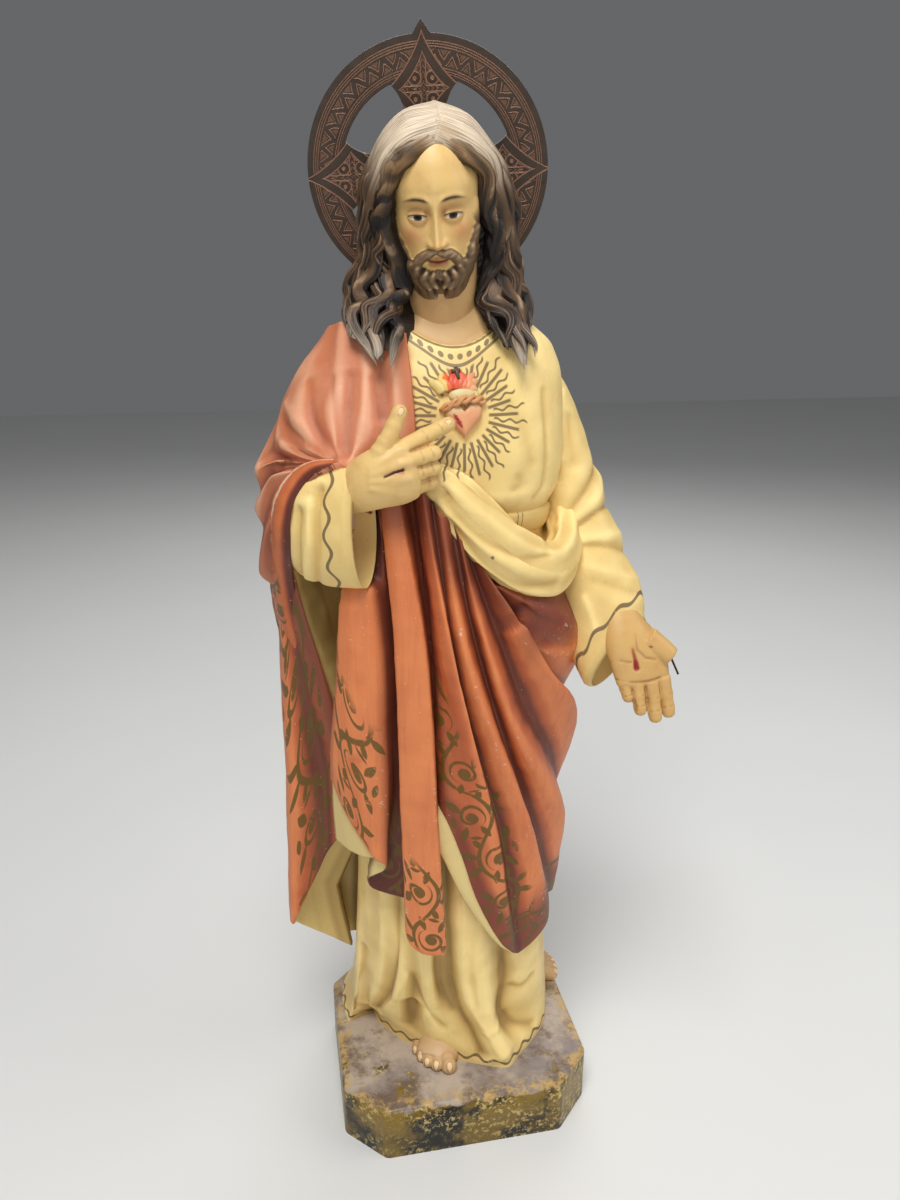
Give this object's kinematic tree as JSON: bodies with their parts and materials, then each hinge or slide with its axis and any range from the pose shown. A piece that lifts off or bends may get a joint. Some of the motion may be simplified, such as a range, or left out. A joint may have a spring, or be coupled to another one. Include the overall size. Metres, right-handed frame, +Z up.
{
  "type": "sacred heart statuette",
  "caption": "Standing devotional figure in a tunic and draped mantle, one hand at the heart on its chest, on a chamfered plinth with a pierced disc halo behind the head.",
  "frame": {"origin": "middle of the plinth's underside", "axes": "+Z up the figure, -Y the way the plinth's front faces, +X towards the figure's left hand"},
  "size_m": [0.1727, 0.1089, 0.4812],
  "materials": {
    "painted_plaster": "painted plaster with a worn satin varnish",
    "etched_metal": "darkened and etched, copper showing on the raised lines",
    "iron_wire": "bare rusty wire"
  },
  "bodies": {
    "root": {"figure": "painted_plaster", "halo": "etched_metal", "thumb_wire": "iron_wire"}
  },
  "joints": []
}
